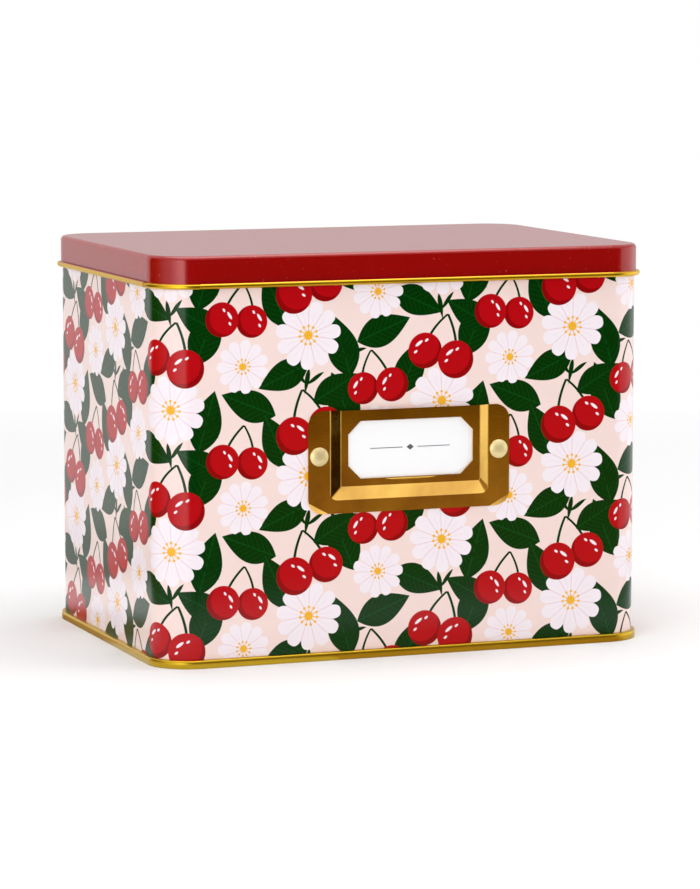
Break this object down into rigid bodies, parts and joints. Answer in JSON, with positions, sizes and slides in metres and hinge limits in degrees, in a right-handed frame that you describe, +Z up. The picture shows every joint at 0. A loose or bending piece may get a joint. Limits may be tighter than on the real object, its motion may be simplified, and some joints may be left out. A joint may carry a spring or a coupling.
{
  "type": "index card tin",
  "caption": "Lidded tinplate box for index cards, with a wire-hinged lid, a double-seamed base and a riveted brass label holder on the front.",
  "frame": {"origin": "middle of the footprint, on the surface that the base seam stands on", "axes": "+Z up, -Y towards the front with the label holder, +X to the right as the front is seen"},
  "size_m": [0.1744, 0.1251, 0.1335],
  "materials": {
    "printed_tinplate": "gloss varnish over a printed pattern, gold lacquer inside",
    "gold_lacquered_tinplate": "clear gold lacquer",
    "red_lacquered_tinplate": "gloss red lacquer, gold rolled edge",
    "hinge_steel": "tinned steel",
    "pressed_brass": "polished",
    "rivet_brass": "polished",
    "white_card": "smooth matt card"
  },
  "bodies": {
    "box": {"body_wall": "printed_tinplate", "base_pan": "gold_lacquered_tinplate", "hinge_strap_left": "gold_lacquered_tinplate", "hinge_strap_right": "gold_lacquered_tinplate", "hinge_rivets": "hinge_steel", "label_holder": "pressed_brass", "label_rivet_left": "rivet_brass", "label_rivet_right": "rivet_brass"},
    "lid": {"lid_pan": "red_lacquered_tinplate", "hinge_wire_left": "hinge_steel", "hinge_wire_right": "hinge_steel"},
    "card": {"label_card": "white_card"}
  },
  "joints": [
    {"name": "lid_hinge", "type": "hinge", "parent": "box", "child": "lid", "pos_m": [0, 0.06155, 0.1239], "axis": [-1, 0, 0], "range_deg": [0, 180]},
    {"name": "card_slide", "type": "slide", "parent": "box", "child": "card", "axis": [0, 0, 1], "range_m": [0, 0.026]}
  ]
}
